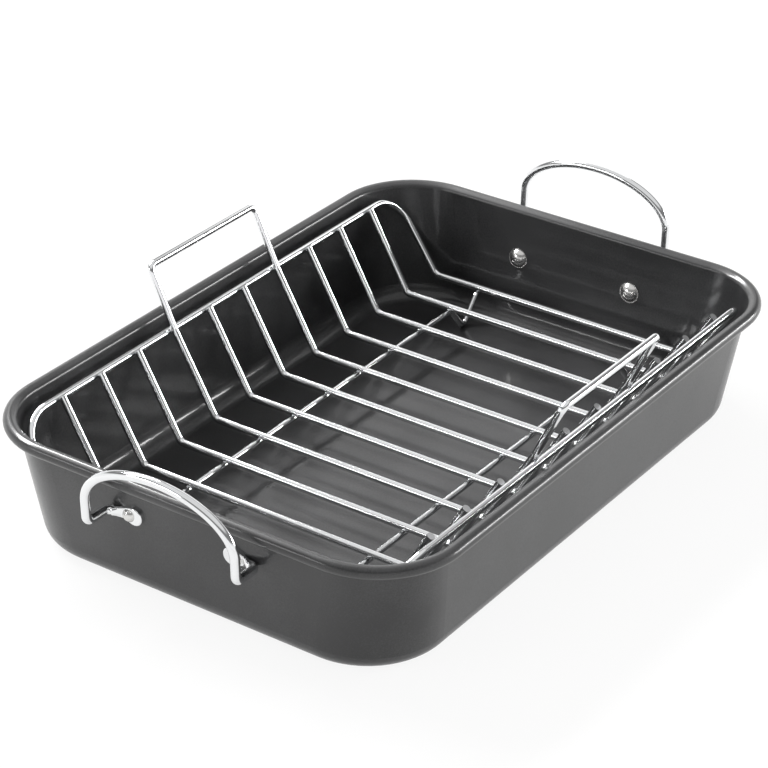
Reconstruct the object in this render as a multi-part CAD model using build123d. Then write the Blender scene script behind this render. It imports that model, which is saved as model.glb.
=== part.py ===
from build123d import *
from math import asin, atan2, cos, degrees, hypot, radians, sin, tan
import os

# Roasting pan with a lift-out wire rack. X runs along the pan, Y across it and Z up.
# The origin is on the table under the middle of the pan. Lengths are in millimetres.

# Pan: overall sizes over the rolled rim
rim_length = 422.0
rim_width = 300.0
pan_height = 79.0
sheet = 0.9
wall_corner_radius = 46.0
base_corner_radius = 51.0
end_wall_lean = 6.5
side_wall_lean = 10.1
base_fillet = 13.0

# Rolled rim, in section: a round-over out of the wall, a flat sloping up and a curl under it
rim_round_over = 2.4
rim_flat = 1.4
rim_rise = 0.6
curl_radius = 3.8
curl_end_angle = 165.0

# Pan handles: a round wire arch at each end, with flattened ends riveted to the wall
pan_handle_wire = 5.5
pan_handle_arch_rise = 29.0
pan_handle_stand_off = 17.5
pan_handle_lean = 2.0
pan_handle_bend = 4.0
tab_wire_run = 0.6
tab_height = 11.5
tab_thickness = 2.2
tab_edge_round = 0.9
tab_end_reach = 9.0
tab_flat_reach = 4.5
tab_neck_height = 7.0

# Rivets through the flattened ends
rivet_shank = 5.0
rivet_flange = 13.6
rivet_flange_thickness = 0.7
rivet_dome = 12.2
rivet_dome_height = 3.5
rivet_tail = 8.0
rivet_tail_height = 2.6

# The two handles are not alike: the right one is taller and wider, on lower rivets
right_handle_top = 114.5
right_handle_half_width = 53.0
right_rivet_half_spacing = 42.0
right_rivet_level = 45.0
left_handle_top = 99.5
left_handle_half_width = 51.2
left_rivet_half_spacing = 37.0
left_rivet_level = 53.5

# Rack wires
cross_wire = 4.6
frame_wire = 4.6
support_wire = 3.7
weld_sink = 0.2

# Gaps between the rack and the pan's walls, at the rails and at the rack's floor
rack_side_gap = 7.9
rack_end_gap = 9.7
foot_clearance = 0.3

# Rack layout. Ten wires cross its floor, and two of them belong to the handle loop
cross_wire_count = 10
outer_wire_count = 3
rack_floor_level = 22.5
rail_level = 72.0
slope_reach = 33.9
tip_reach = 0.5
cross_wire_bend = 5.0
frame_corner = 22.0
frame_bend = 7.0
grip_half_width = 144.8
grip_level = 111.5
grip_corner = 4.2
leg_bend = 20.0

# Support wires under the rack floor, each dipping to a foot near both ends
support_inset = 33.0
support_overhang = 2.0
foot_run = 15.0
foot_flat = 4.0
foot_bend = 3.0

# Sizes that follow from the ones above
rim_reach = rim_round_over + rim_flat + curl_radius
roll_level = pan_height - sheet - rim_round_over - rim_rise
wall_top_half_length = rim_length / 2 - rim_reach
wall_top_half_width = rim_width / 2 - rim_reach
end_wall_angle = degrees(atan2(end_wall_lean, roll_level))
right_end = (right_handle_half_width, right_rivet_half_spacing, right_rivet_level)
left_end = (left_handle_half_width, left_rivet_half_spacing, left_rivet_level)


def wall_half_length(level):
    """Outside half length of the pan wall at a height."""
    return wall_top_half_length - end_wall_lean * (1 - level / roll_level)


def wall_half_width(level):
    """Outside half width of the pan wall at a height."""
    return wall_top_half_width - side_wall_lean * (1 - level / roll_level)


# The rack is sized from the pan's walls
rail_half_width = wall_half_width(rail_level) - sheet - rack_side_gap - frame_wire / 2
rack_floor_half_width = rail_half_width - slope_reach
frame_half_length = wall_half_length(rack_floor_level) - sheet - rack_end_gap - frame_wire / 2
wire_pitch = 2 * frame_half_length / (cross_wire_count + 1)
loop_half_length = frame_half_length - (outer_wire_count + 1) * wire_pitch
support_half_spacing = rack_floor_half_width - support_inset
support_level = rack_floor_level - (cross_wire + support_wire) / 2 + weld_sink
frame_floor_level = support_level + (support_wire + frame_wire) / 2 - weld_sink
foot_level = sheet + support_wire / 2 + foot_clearance

# The sloping wires pass the rails on their inside and are welded to them there
weld_distance = (frame_wire + cross_wire) / 2 - weld_sink
slope_rise = rail_level - rack_floor_level
slope_lean = atan2(slope_reach, slope_rise) - asin(weld_distance / hypot(slope_reach, slope_rise))
weld_level = rail_level + weld_distance * sin(slope_lean)
tip_level = weld_level + tip_reach * cos(slope_lean)


def wall_outline(level, inset):
    """Rounded rectangle of the wall at a height, drawn in by the inset."""
    half_length = wall_half_length(level) - inset
    half_width = wall_half_width(level) - inset
    corner_share = level / roll_level
    corner = base_corner_radius + (wall_corner_radius - base_corner_radius) * corner_share - inset
    return Plane.XY.offset(level) * RectangleRounded(2 * half_length, 2 * half_width, corner)


def tapered_block(bottom_level, inset, fillet_radius):
    """Solid between two wall outlines, rounded along its bottom edge."""
    block = loft([wall_outline(bottom_level, inset), wall_outline(roll_level, inset)], ruled=True)
    return fillet(block.edges().group_by(Axis.Z)[0], fillet_radius)


def rim_section():
    """Rolled edge in section: X is the distance out of the wall, Y the height.

    The flat is the common tangent of the round-over's and the curl's circles.
    """
    curl_level = pan_height - curl_radius - roll_level
    wider = curl_radius - rim_round_over - sheet
    slope = degrees(atan2(curl_level, rim_flat) + asin(wider / hypot(rim_flat, curl_level)))

    def on_curl(radius, angle):
        turn = radians(90 + slope - angle)
        center = (rim_round_over + rim_flat, pan_height - curl_radius)
        return (center[0] + radius * cos(turn), center[1] + radius * sin(turn))

    def on_round_over(radius, angle):
        turn = radians(angle)
        return (rim_round_over + radius * cos(turn), roll_level + radius * sin(turn))

    outer = rim_round_over + sheet
    inner_curl = curl_radius - sheet
    roll = (180, 135 + slope / 2, 90 + slope)
    wrap = (0, (slope + 90 + curl_end_angle) / 2, slope + 90 + curl_end_angle)
    with BuildSketch() as section:
        with BuildLine():
            Line(on_round_over(rim_round_over, roll[0]), on_round_over(outer, roll[0]))
            ThreePointArc(*[on_round_over(outer, turn) for turn in roll])
            Line(on_round_over(outer, roll[-1]), on_curl(curl_radius, 0))
            ThreePointArc(*[on_curl(curl_radius, turn) for turn in wrap])
            Line(on_curl(curl_radius, wrap[-1]), on_curl(inner_curl, wrap[-1]))
            ThreePointArc(*[on_curl(inner_curl, turn) for turn in reversed(wrap)])
            Line(on_curl(inner_curl, 0), on_round_over(rim_round_over, roll[-1]))
            ThreePointArc(*[on_round_over(rim_round_over, turn) for turn in reversed(roll)])
        make_face()
    return section.sketch


def rolled_rim():
    """Rim ring: the section run round the top of the wall."""
    straight_length = 2 * (wall_top_half_length - wall_corner_radius)
    straight_width = 2 * (wall_top_half_width - wall_corner_radius)
    section = rim_section()
    ring = Part()
    for side in (1, -1):
        end_plane = Plane(
            origin=(side * wall_top_half_length, side * straight_width / 2, 0),
            x_dir=(side, 0, 0),
            z_dir=(0, -side, 0),
        )
        long_plane = Plane(
            origin=(-side * straight_length / 2, side * wall_top_half_width, 0),
            x_dir=(0, side, 0),
            z_dir=(side, 0, 0),
        )
        ring += extrude(end_plane * section, straight_width)
        ring += extrude(long_plane * section, straight_length)
        for across in (1, -1):
            center = (side * straight_length / 2, across * straight_width / 2, 0)
            start = Plane(
                origin=(center[0] + side * wall_corner_radius, center[1], 0),
                x_dir=(side, 0, 0),
                z_dir=(0, -side, 0),
            )
            ring += revolve(start * section, Axis(center, (0, 0, side * across)), 90)
    return ring


def rivet_plane(side, end):
    """Plane at a rivet on the outside of the +X end wall, with Z out of the wall and Y up it."""
    rivet_half_spacing, level = end[1:]
    normal = Vector(1, 0, 0).rotate(Axis.Y, end_wall_angle)
    place = (wall_half_length(level), side * rivet_half_spacing, level)
    return Plane(origin=place, x_dir=(0, 1, 0), z_dir=normal)


def at_left_end(shape):
    """The shape turned half round from the +X end to the -X end."""
    return shape.rotate(Axis.Z, 180)


def pan_body():
    """Pan: thin drafted walls, flat floor, rolled rim and four rivet holes."""
    body = tapered_block(0, 0, base_fillet) - tapered_block(sheet, sheet, base_fillet - sheet)
    body += rolled_rim()
    for side in (1, -1):
        body -= rivet_hole(rivet_plane(side, right_end))
        body -= at_left_end(rivet_hole(rivet_plane(side, left_end)))
    return body


def rivet_hole(plane):
    """Cutter for a rivet shank through the +X end wall."""
    return extrude(plane * Circle(rivet_shank / 2), rim_reach, both=True)


def bent_wire(corners, bends, diameter):
    """Round wire through the corner points, with a round bend of its own radius at each.

    A bend leaves its corner by radius / tan(half the corner angle) on both sides.
    """
    points = [Vector(*corner) for corner in corners]
    edges = []
    start = points[0]
    for before, corner, after, bend in zip(points, points[1:], points[2:], bends):
        back = (before - corner).normalized()
        ahead = (after - corner).normalized()
        half_angle = radians(back.get_angle(ahead)) / 2
        set_back = bend / tan(half_angle)
        middle = corner + (back + ahead).normalized() * (bend / sin(half_angle) - bend)
        edges.append(Edge.make_line(start, corner + back * set_back))
        start = corner + ahead * set_back
        edges.append(Edge.make_three_point_arc(edges[-1] @ 1, middle, start))
    edges.append(Edge.make_line(start, points[-1]))
    path = Wire(edges)
    section = Plane(origin=path @ 0, z_dir=path % 0) * Circle(diameter / 2)
    return sweep(section, path=path)


def pan_handle(top, end):
    """Wire arch at the +X end with its two flattened ends on the wall."""
    half_width, rivet_half_spacing, level = end
    radius = pan_handle_wire / 2
    wall_x = wall_half_length(level)
    leg_x = wall_x + radius + pan_handle_stand_off
    neck = half_width - pan_handle_bend - tab_wire_run
    leg_rise = top - radius - level
    lean = Vector(0, 0, 1).rotate(Axis.Y, pan_handle_lean)
    arch_plane = Plane(
        origin=Vector(leg_x, 0, level) + lean * ((leg_rise / lean.Z) - pan_handle_arch_rise),
        x_dir=(0, 1, 0),
        z_dir=Vector(0, 1, 0).cross(lean),
    )
    arch = arch_plane * EllipticalCenterArc(
        (0, 0), half_width, pan_handle_arch_rise, start_angle=0, arc_size=180
    )
    section = Plane(origin=arch @ 0, z_dir=arch % 0) * Circle(radius)
    handle = sweep(section, path=arch)
    for side, leg_top in ((1, arch @ 0), (-1, arch @ 1)):
        leg_y = side * half_width
        corners = (
            (wall_x + radius, side * neck, level),
            (wall_x + radius, leg_y, level),
            (leg_x, leg_y, level),
            leg_top,
        )
        handle += bent_wire(corners, (pan_handle_bend, pan_handle_bend), pan_handle_wire)
        handle += flattened_end(side, rivet_plane(side, end), neck - rivet_half_spacing)
    return handle


def flattened_end(side, plane, neck_reach):
    """Hammered tab on the wall: a flat paddle with a round end, drawn up to the round wire."""
    half_height = tab_height / 2
    radius = pan_handle_wire / 2
    with BuildSketch() as outline:
        with BuildLine():
            Line(
                (side * tab_flat_reach, -tab_neck_height / 2),
                (side * tab_flat_reach, tab_neck_height / 2),
            )
            CenterArc((side * (half_height - tab_end_reach), 0), half_height, 0, 360)
        make_hull()
    paddle = extrude(plane * outline.sketch, tab_thickness)
    outer_face = paddle.faces().sort_by(lambda face: (face.center() - plane.origin).dot(plane.z_dir))[-1]
    long_edges = outer_face.edges().sort_by(lambda edge: side * edge.center().Y)[:-1]
    paddle = fillet(long_edges, tab_edge_round)
    neck_face = paddle.faces().sort_by(lambda face: side * face.center().Y)[-1]
    wire_side = Plane(origin=(side * neck_reach, 0, radius), x_dir=(0, 1, 0), z_dir=(side, 0, 0))
    neck = loft([neck_face, plane * wire_side * Circle(radius)])
    return paddle + neck - rivet_hole(plane)


def rivet(plane):
    """Rivet through wall and tab, domed with a thin flange inside, upset outside."""
    shank = rivet_shank / 2
    flange = rivet_flange / 2
    dome = rivet_dome / 2
    tail = rivet_tail / 2
    flange_level = -sheet - rivet_flange_thickness
    with BuildSketch(Plane.XZ) as profile:
        with BuildLine():
            Line((0, tab_thickness + rivet_tail_height), (0, flange_level - rivet_dome_height))
            dome_middle = cap_middle(dome, rivet_dome_height)
            ThreePointArc(
                (0, flange_level - rivet_dome_height),
                (dome_middle[0], flange_level - dome_middle[1]),
                (dome, flange_level),
            )
            Polyline(
                (dome, flange_level),
                (flange, flange_level),
                (flange, -sheet),
                (shank, -sheet),
                (shank, tab_thickness),
                (tail, tab_thickness),
            )
            tail_middle = cap_middle(tail, rivet_tail_height)
            ThreePointArc(
                (tail, tab_thickness),
                (tail_middle[0], tab_thickness + tail_middle[1]),
                (0, tab_thickness + rivet_tail_height),
            )
        make_face()
    return plane * revolve(profile.sketch, Axis.Z)


def cap_middle(base_radius, height):
    """Point of a spherical cap's section midway between its rim and its top."""
    ball = (base_radius**2 + height**2) / (2 * height)
    turn = asin(base_radius / ball) / 2
    return ball * sin(turn), height - ball * (1 - cos(turn))


def slope_half_width(level):
    """Half width between the two sloping sides of the cross wires at a height."""
    return rack_floor_half_width + (level - rack_floor_level) * tan(slope_lean)


def cross_wire_part(place):
    """Cross wire: a flat floor and two straight sloping sides that end at the rails."""
    side = [(slope_half_width(tip_level), tip_level), (rack_floor_half_width, rack_floor_level)]
    corners = [(place, -across, level) for across, level in side]
    corners += [(place, across, level) for across, level in reversed(side)]
    return bent_wire(corners, (cross_wire_bend, cross_wire_bend), cross_wire)


def wire_loop(half_length, side, bends, diameter):
    """Closed wire loop: two straight runs along the rack, joined at both ends by a U.

    One side of the U is given as (half width, height) points from the run down to the floor.
    """
    profile = [(-across, level) for across, level in side] + side[::-1]
    loop = Part()
    for end in (1, -1):
        corners = [(0, *profile[0])]
        corners += [(end * half_length, across, level) for across, level in profile]
        corners += [(0, *profile[-1])]
        loop += bent_wire(corners, bends + bends[::-1], diameter)
    return loop


def rack_frame():
    """Outer wire of the rack, with its two rails along the top."""
    side = [(rail_half_width, rail_level), (rack_floor_half_width, frame_floor_level)]
    return wire_loop(frame_half_length, side, [frame_corner, frame_bend], frame_wire)


def handle_loop():
    """Lifting handles: two of the cross wires, carried on past the rails to a straight grip."""
    side = [
        (grip_half_width, grip_level),
        (slope_half_width(weld_level), weld_level),
        (rack_floor_half_width, rack_floor_level),
    ]
    return wire_loop(loop_half_length, side, [grip_corner, leg_bend, cross_wire_bend], cross_wire)


def support_part(across):
    """Support wire along the rack under the cross wires, with a dipped foot near each end."""
    last_wire = frame_half_length - wire_pitch
    foot_middle = last_wire + wire_pitch / 2
    half_profile = [
        (frame_half_length + support_overhang, support_level),
        (foot_middle + foot_run, support_level),
        (foot_middle + foot_flat / 2, foot_level),
        (foot_middle - foot_flat / 2, foot_level),
        (foot_middle - foot_run, support_level),
    ]
    corners = [(-along, across, level) for along, level in half_profile]
    corners += [(along, across, level) for along, level in reversed(half_profile)]
    return bent_wire(corners, [foot_bend] * 8, support_wire)


def plain_wire_places():
    """Places along the rack of the cross wires beside the handle loop."""
    before_loop = list(range(1, outer_wire_count + 1))
    within_loop = list(range(outer_wire_count + 2, cross_wire_count - outer_wire_count))
    after_loop = list(range(cross_wire_count - outer_wire_count + 1, cross_wire_count + 1))
    return [number * wire_pitch - frame_half_length for number in before_loop + within_loop + after_loop]


def all_parts():
    """Every sub-part with its node name."""
    parts = {"pan": pan_body()}
    parts["pan_handle_right"] = pan_handle(right_handle_top, right_end)
    parts["pan_handle_left"] = at_left_end(pan_handle(left_handle_top, left_end))
    for side, row in ((-1, "front"), (1, "back")):
        parts[f"rivet_right_{row}"] = rivet(rivet_plane(side, right_end))
        parts[f"rivet_left_{row}"] = at_left_end(rivet(rivet_plane(-side, left_end)))
    parts["rack_frame"] = rack_frame()
    parts["handle_loop"] = handle_loop()
    for number, place in enumerate(plain_wire_places(), start=1):
        parts[f"cross_wire_{number:02d}"] = cross_wire_part(place)
    parts["support_wire_front"] = support_part(-support_half_spacing)
    parts["support_wire_back"] = support_part(support_half_spacing)
    return parts


os.makedirs("parts", exist_ok=True)
for name, shape in all_parts().items():
    export_step(shape, f"parts/{name}.step")
    print(name, len(shape.solids()), "solid", round(shape.volume), "cubic mm")
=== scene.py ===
from math import radians
import bpy
import numpy as np
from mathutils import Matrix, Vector

# Roasting pan with a wire rack: finishes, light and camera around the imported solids. Metres throughout.

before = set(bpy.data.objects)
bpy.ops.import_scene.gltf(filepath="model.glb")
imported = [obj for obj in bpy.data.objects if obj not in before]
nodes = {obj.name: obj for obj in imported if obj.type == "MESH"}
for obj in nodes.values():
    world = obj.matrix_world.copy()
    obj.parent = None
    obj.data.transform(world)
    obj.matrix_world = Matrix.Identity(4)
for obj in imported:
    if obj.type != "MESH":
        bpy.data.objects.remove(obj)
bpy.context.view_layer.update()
mm = 0.001
white = (1, 1, 1, 1)
print("frame loaded:", len(nodes), "nodes")


def linearColor(hexText):
    # sRGB hex to linear: divide by 12.92 near black, otherwise ((c + 0.055) / 1.055) to the power 2.4
    channels = np.array([int(hexText[i:i + 2], 16) for i in (1, 3, 5)]) / 255
    linear = np.where(channels <= 0.04045, channels / 12.92, ((channels + 0.055) / 1.055) ** 2.4)
    return (*linear.tolist(), 1.0)


def addNode(tree, kind, settings=None, links=None):
    # settings go to the node's attributes or, by name or number, to its sockets; links join other
    # nodes' outputs to its sockets
    node = tree.nodes.new(kind)
    for key, value in (settings or {}).items():
        if isinstance(key, str) and hasattr(node, key):
            setattr(node, key, value)
        else:
            node.inputs[key].default_value = value
    for key, source in (links or {}).items():
        tree.links.new(source, node.inputs[key])
    return node


def newMaterial(name):
    material = bpy.data.materials.new(name)
    material.use_nodes = True
    material.node_tree.nodes.clear()
    return material, material.node_tree


def finishMaterial(tree, shader):
    addNode(tree, "ShaderNodeOutputMaterial", links={"Surface": shader.outputs[0]})


# PTFE non-stick coating, sprayed and baked on pressed steel: dark grey with a satin gloss. Its fine
# grit catches the light as specks, an orange peel makes its reflections wavy, and its tone and gloss
# drift in slow clouds. The real grit is about 0.2 mm, too fine to show, so it is drawn coarser, at 1 mm
coating = {
    "dark": "#202021",
    "light": "#333334",
    "toneSpan": (0.7, 1.0),  # sums of cloud and specks at which the tone is dark and light
    "speckle": 0.7,  # weight of the grit in that sum
    "grit": 1.0 * mm,
    "gritDetail": 3.0,
    "gritHarshness": 0.6,
    "gritDepth": 0.024 * mm,
    "peel": 7 * mm,
    "peelDetail": 2.0,
    "peelDepth": 0.008 * mm,
    "bump": 0.6,
    "cloud": 60 * mm,
    "cloudDetail": 3.0,
    "roughness": (0.38, 0.48),
    "ior": 1.38,
    "sheen": 0.56,  # weight of the smoother top layer
    "sheenRoughness": 0.12,
}


def nonStickCoating():
    material, tree = newMaterial("nonStickCoating")
    place = addNode(tree, "ShaderNodeTexCoord").outputs["Object"]
    grit = addNode(tree, "ShaderNodeTexNoise",
                   {"Scale": 1 / coating["grit"], "Detail": coating["gritDetail"],
                    "Roughness": coating["gritHarshness"]},
                   {"Vector": place}).outputs["Fac"]
    peel = addNode(tree, "ShaderNodeTexNoise",
                   {"Scale": 1 / coating["peel"], "Detail": coating["peelDetail"]},
                   {"Vector": place}).outputs["Fac"]
    cloud = addNode(tree, "ShaderNodeTexNoise",
                    {"Scale": 1 / coating["cloud"], "Detail": coating["cloudDetail"]},
                    {"Vector": place}).outputs["Fac"]
    tone = addNode(tree, "ShaderNodeMath", {"operation": "MULTIPLY_ADD", 1: coating["speckle"]},
                   {0: grit, 2: cloud})
    shade = addNode(tree, "ShaderNodeValToRGB", links={"Fac": tone.outputs[0]})
    tones = (coating["dark"], coating["light"])
    for stop, position, hexText in zip(shade.color_ramp.elements, coating["toneSpan"], tones):
        stop.position = position
        stop.color = linearColor(hexText)
    smooth, rough = coating["roughness"]
    gloss = addNode(tree, "ShaderNodeMapRange", {"To Min": smooth, "To Max": rough}, {"Value": cloud})
    waves = addNode(tree, "ShaderNodeBump",
                    {"Strength": coating["bump"], "Distance": coating["peelDepth"]}, {"Height": peel})
    specks = addNode(tree, "ShaderNodeBump",
                     {"Strength": coating["bump"], "Distance": coating["gritDepth"]},
                     {"Height": grit, "Normal": waves.outputs[0]})
    shader = addNode(tree, "ShaderNodeBsdfPrincipled",
                     {"Metallic": 0.0, "IOR": coating["ior"], "Coat Weight": coating["sheen"],
                      "Coat Roughness": coating["sheenRoughness"]},
                     {"Base Color": shade.outputs[0], "Roughness": gloss.outputs[0],
                      "Normal": specks.outputs[0]})
    finishMaterial(tree, shader)
    return material


# Nickel-chrome plate on drawn steel wire: bright, almost colourless mirror, a little softened by
# the unevenness of the wire under the plate
chrome = {
    "color": "#e6e7e8",
    "mark": 3 * mm,
    "markDetail": 3.0,
    "markDepth": 0.012 * mm,
    "bump": 0.4,
    "roughness": (0.09, 0.14),
}

# Polished stainless steel rivets, tumbled after forging: soft mirror with small dents
steel = {
    "color": "#d4d3d1",
    "mark": 4 * mm,
    "markDetail": 2.0,
    "markDepth": 0.05 * mm,
    "bump": 0.5,
    "roughness": (0.2, 0.3),
}


def polishedMetal(name, finish):
    # one noise, as wide as the marks, drives both the gloss and the bumps
    material, tree = newMaterial(name)
    place = addNode(tree, "ShaderNodeTexCoord").outputs["Object"]
    marks = addNode(tree, "ShaderNodeTexNoise",
                    {"Scale": 1 / finish["mark"], "Detail": finish["markDetail"]},
                    {"Vector": place}).outputs["Fac"]
    smooth, rough = finish["roughness"]
    gloss = addNode(tree, "ShaderNodeMapRange", {"To Min": smooth, "To Max": rough}, {"Value": marks})
    bumps = addNode(tree, "ShaderNodeBump",
                    {"Strength": finish["bump"], "Distance": finish["markDepth"]}, {"Height": marks})
    shader = addNode(tree, "ShaderNodeBsdfPrincipled",
                     {"Metallic": 1.0, "Base Color": linearColor(finish["color"])},
                     {"Roughness": gloss.outputs[0], "Normal": bumps.outputs[0]})
    finishMaterial(tree, shader)
    return material


coatingMaterial = nonStickCoating()
chromeMaterial = polishedMetal("chromePlate", chrome)
steelMaterial = polishedMetal("tumbledSteel", steel)


def finishFor(name):
    # the pan is coated and the rivets are steel; every other piece is plated wire
    if name == "pan":
        return coatingMaterial
    if name.startswith("rivet"):
        return steelMaterial
    return chromeMaterial


for name, node in nodes.items():
    node.data.materials.clear()
    node.data.materials.append(finishFor(name))
print("finishes set")

# Studio: pale floor under a dome that is bright overhead and near the floor. A dim ring between
# them gives round wire its grey middle and the rim its dark top
studio = {
    "floorSize": 6.0,
    "floorColor": "#f2f2f1",
    "floorShare": 0.9,  # plain white in what the camera sees of the floor; the rest takes the shadow
    "floorGloss": 0.8,  # how much of that white a reflection shows
    # height of the direction and grey there, from the horizon to straight up
    "dome": ((0.0, 0.9), (0.24, 0.8), (0.34, 0.12), (0.62, 0.12), (0.74, 0.66), (1.0, 0.62)),
    "domeStrength": 1.3,
    "domeGloss": 0.08,  # how much of the white background a reflection shows
}


def flatSheet(name, size):
    # square sheet at height 0, its corners at plus and minus half the size
    half = size / 2
    corners = [(-half, -half, 0), (half, -half, 0), (half, half, 0), (-half, half, 0)]
    mesh = bpy.data.meshes.new(name)
    mesh.from_pydata(corners, [], [(0, 1, 2, 3)])
    sheet = bpy.data.objects.new(name, mesh)
    bpy.context.scene.collection.objects.link(sheet)
    return sheet


def seenRays(tree, share):
    # 1 for rays from the camera and through glass, and the share for glossy rays, so that metal
    # shows the pale ground too
    rays = addNode(tree, "ShaderNodeLightPath")
    direct = addNode(tree, "ShaderNodeMath", {"operation": "MAXIMUM"},
                     {0: rays.outputs["Is Camera Ray"], 1: rays.outputs["Is Transmission Ray"]})
    return addNode(tree, "ShaderNodeMath", {"operation": "MULTIPLY_ADD", 1: share},
                   {0: rays.outputs["Is Glossy Ray"], 2: direct.outputs[0]}).outputs[0]


def floorMaterial():
    # matt paper that the camera sees near white, so that the shadow stays faint
    material, tree = newMaterial("studioFloor")
    paper = addNode(tree, "ShaderNodeBsdfDiffuse", {"Color": linearColor(studio["floorColor"])})
    glow = addNode(tree, "ShaderNodeEmission", {"Color": white})
    share = addNode(tree, "ShaderNodeMath", {"operation": "MULTIPLY", 1: studio["floorShare"]},
                    {0: seenRays(tree, studio["floorGloss"])})
    both = addNode(tree, "ShaderNodeMixShader",
                   links={"Fac": share.outputs[0], 1: paper.outputs[0], 2: glow.outputs[0]})
    finishMaterial(tree, both)
    return material


def studioWorld():
    # the dome's grey follows the height of a ray's direction, its Z, from 0 at the horizon to 1
    # straight up; the camera sees plain white instead
    world = bpy.data.worlds.new("studio")
    world.use_nodes = True
    tree = world.node_tree
    tree.nodes.clear()
    direction = addNode(tree, "ShaderNodeTexCoord").outputs["Generated"]
    height = addNode(tree, "ShaderNodeSeparateXYZ", links={"Vector": direction}).outputs["Z"]
    dome = addNode(tree, "ShaderNodeValToRGB", links={"Fac": height})
    for place, _ in studio["dome"][1:-1]:
        dome.color_ramp.elements.new(place)
    for stop, (place, grey) in zip(dome.color_ramp.elements, studio["dome"]):
        stop.position = place
        stop.color = (grey, grey, grey, 1)
    seen = addNode(tree, "ShaderNodeBackground", {"Color": white})
    lit = addNode(tree, "ShaderNodeBackground", {"Strength": studio["domeStrength"]},
                  {"Color": dome.outputs[0]})
    share = seenRays(tree, studio["domeGloss"])
    mixed = addNode(tree, "ShaderNodeMixShader",
                    links={"Fac": share, 1: lit.outputs[0], 2: seen.outputs[0]})
    addNode(tree, "ShaderNodeOutputWorld", links={"Surface": mixed.outputs[0]})
    return world


floor = flatSheet("floor", studio["floorSize"])
floor.data.materials.append(floorMaterial())
bpy.context.scene.world = studioWorld()

# Lamps, as the camera sees them: a long window hangs over the far left side, a softbox and a strip
# stand low on the right, a dim panel behind lights the pan floor, and a strip stands on the left.
# All face one point
lampAim = Vector((0, 0, 30 * mm))
lamps = {
    "windowLamp": {"place": (0.3, 1.5, 1.5), "size": (1.6, 0.4), "power": 74.0},
    "rightLamp": {"place": (1.5, -1.35, 0.27), "size": (1.3, 0.5), "power": 8.0},
    "stripLamp": {"place": (1.5, -1.35, 0.58), "size": (1.2, 0.2), "power": 21.0},
    "panelLamp": {"place": (0.72, 0.31, 0.49), "size": (0.45, 0.45), "power": 0.6},
    "leftLamp": {"place": (-1.7, 1.1, 0.85), "size": (1.0, 0.16), "power": 7.0},
}


def softLamp(name, place, size, power):
    # rectangular lamp that the camera doesn't see
    lamp = bpy.data.lights.new(name, "AREA")
    lamp.shape = "RECTANGLE"
    lamp.size, lamp.size_y = size
    lamp.energy = power
    holder = bpy.data.objects.new(name, lamp)
    bpy.context.scene.collection.objects.link(holder)
    holder.location = place
    holder.rotation_euler = (lampAim - Vector(place)).to_track_quat("-Z", "Y").to_euler()
    holder.visible_camera = False


for name, lamp in lamps.items():
    softLamp(name, lamp["place"], lamp["size"], lamp["power"])
print("studio lit")

# Camera fitted to the photo; its turns about X, Y and Z are in degrees, its lens and sensor in millimetres
camera = {
    "place": (-1.16767, -0.80158, 0.84935),
    "turn": (60.7189, -0.4407, -54.9746),
    "lens": 128.57,
    "sensor": 36.0,
}
view = bpy.data.cameras.new("photoCamera")
view.lens = camera["lens"]
view.sensor_width = camera["sensor"]
viewer = bpy.data.objects.new("photoCamera", view)
bpy.context.scene.collection.objects.link(viewer)
viewer.location = camera["place"]
viewer.rotation_euler = [radians(angle) for angle in camera["turn"]]
bpy.context.scene.camera = viewer
print("camera placed")

bpy.context.scene.view_settings.view_transform = "Standard"
